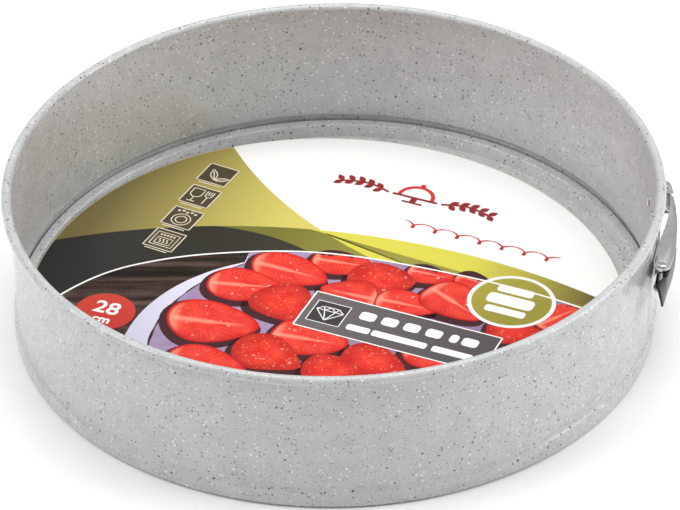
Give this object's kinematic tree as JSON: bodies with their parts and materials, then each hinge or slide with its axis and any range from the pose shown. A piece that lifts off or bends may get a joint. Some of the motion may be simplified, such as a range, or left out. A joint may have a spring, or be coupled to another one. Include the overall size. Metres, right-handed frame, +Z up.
{
  "type": "springform pan",
  "caption": "Round springform cake pan with a rolled rim, a sprung band with an over-centre latch, and a loose base.",
  "frame": {"origin": "centre of the base's underside, on the table and on the straight wall's axis", "axes": "+Z up out of the pan, +X towards the latch side, +Y from the lever's tail towards the catch bracket"},
  "size_m": [0.2943, 0.289, 0.0695],
  "materials": {
    "speckled_coating": "light grey satin non-stick coating with dark and pale speckles",
    "plated_steel": "bright zinc plated pressed steel",
    "dark_steel": "dark burnished pressed steel",
    "printed_card": "glossy printed cardboard"
  },
  "bodies": {
    "base": {"base_plate": "speckled_coating"},
    "rear": {"band_rear": "speckled_coating"},
    "back_side": {"band_back_side": "speckled_coating"},
    "back_end": {"band_back_end": "speckled_coating", "catch_bracket": "plated_steel", "catch_pin": "plated_steel", "catch_rivet_rear": "plated_steel", "catch_rivet_front": "plated_steel"},
    "front_side": {"band_front_side": "speckled_coating"},
    "front_end": {"band_front_end": "speckled_coating", "latch_bracket": "plated_steel", "lever_pin": "dark_steel", "latch_rivet_rear": "plated_steel", "latch_rivet_front": "plated_steel"},
    "lever": {"lever": "dark_steel", "link_pin": "plated_steel"},
    "link": {"link": "plated_steel"},
    "card": {"insert_card": "printed_card"}
  },
  "joints": [
    {"name": "band_slide", "type": "slide", "parent": "base", "child": "rear", "axis": [-0.9703, 0.2419, 0], "range_m": [0, 0.00138]},
    {"name": "back_side_hinge", "type": "hinge", "parent": "rear", "child": "back_side", "pos_m": [-0.07223, 0.12022, 0.035], "axis": [0, 0, 1], "range_deg": [0, 0.8]},
    {"name": "back_end_hinge", "type": "hinge", "parent": "back_side", "child": "back_end", "pos_m": [0.12022, 0.07223, 0.035], "axis": [0, 0, 1], "range_deg": [0, 0.8]},
    {"name": "front_side_hinge", "type": "hinge", "parent": "rear", "child": "front_side", "pos_m": [-0.12022, -0.07223, 0.035], "axis": [0, 0, 1], "range_deg": [-0.8, 0]},
    {"name": "front_end_hinge", "type": "hinge", "parent": "front_side", "child": "front_end", "pos_m": [0.07223, -0.12022, 0.035], "axis": [0, 0, 1], "range_deg": [-0.8, 0]},
    {"name": "lever_hinge", "type": "hinge", "parent": "front_end", "child": "lever", "pos_m": [0.14184, -0.0315, 0.043], "axis": [0, 0, 1], "range_deg": [0, 95]},
    {"name": "link_hinge", "type": "hinge", "parent": "lever", "child": "link", "pos_m": [0.14063, -0.04011, 0.043], "axis": [0, 0, 1], "range_deg": [-84.2, 0]},
    {"name": "card_lift", "type": "slide", "parent": "base", "child": "card", "axis": [0, 0, 1], "range_m": [0, 0.08]}
  ],
  "couplings": [
    {"joint": "lever_hinge", "follows": "band_slide", "rad_per_m": 1202.5},
    {"joint": "back_side_hinge", "follows": "band_slide", "rad_per_m": 10.083},
    {"joint": "back_end_hinge", "follows": "band_slide", "rad_per_m": 10.083},
    {"joint": "front_side_hinge", "follows": "band_slide", "rad_per_m": -10.083},
    {"joint": "front_end_hinge", "follows": "band_slide", "rad_per_m": -10.083},
    {"joint": "link_hinge", "follows": "band_slide", "rad_per_m": -1064.2}
  ]
}
